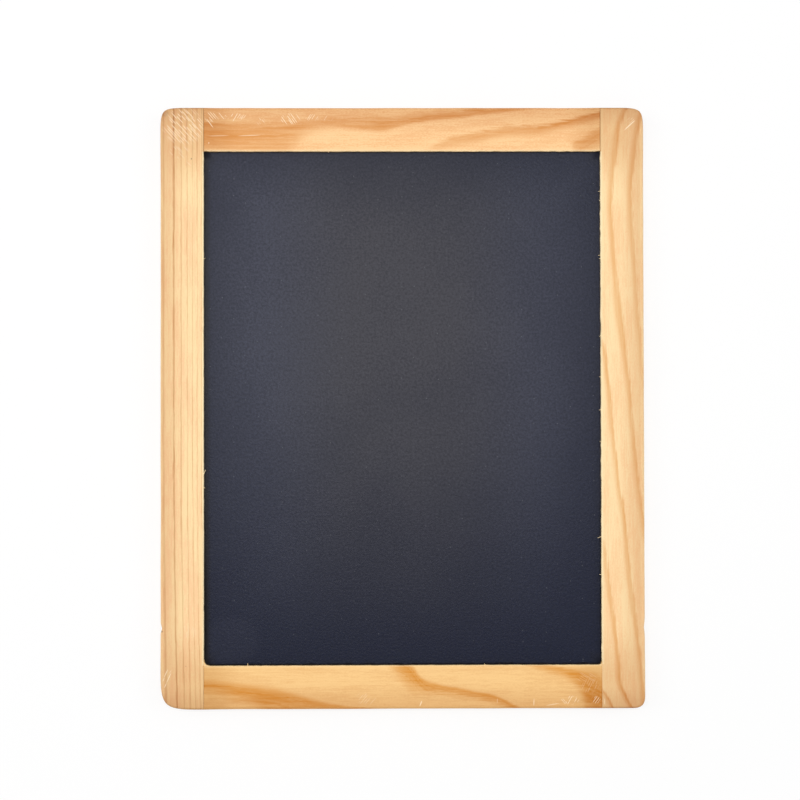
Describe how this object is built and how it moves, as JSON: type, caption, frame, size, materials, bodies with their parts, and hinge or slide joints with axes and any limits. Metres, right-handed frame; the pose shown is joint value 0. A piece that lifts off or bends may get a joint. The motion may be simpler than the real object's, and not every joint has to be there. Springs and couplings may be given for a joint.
{
  "type": "slate writing board",
  "caption": "Flat slate slab for chalk, loose in the grooves of a plain pine frame whose corners are open mortise and tenon joints; it can be written on from either side",
  "frame": {"origin": "middle of the back of the frame, in the plane that it lies on", "axes": "X to the right of the writing face, Y up the writing face, Z out of the writing face"},
  "size_m": [0.2012, 0.25, 0.009],
  "materials": {
    "pine": "sanded pine with a thin satin varnish",
    "slate": "honed matt slate"
  },
  "bodies": {
    "root": {"left_stile": "pine", "right_stile": "pine", "top_rail": "pine", "bottom_rail": "pine", "slate_panel": "slate"}
  },
  "joints": []
}
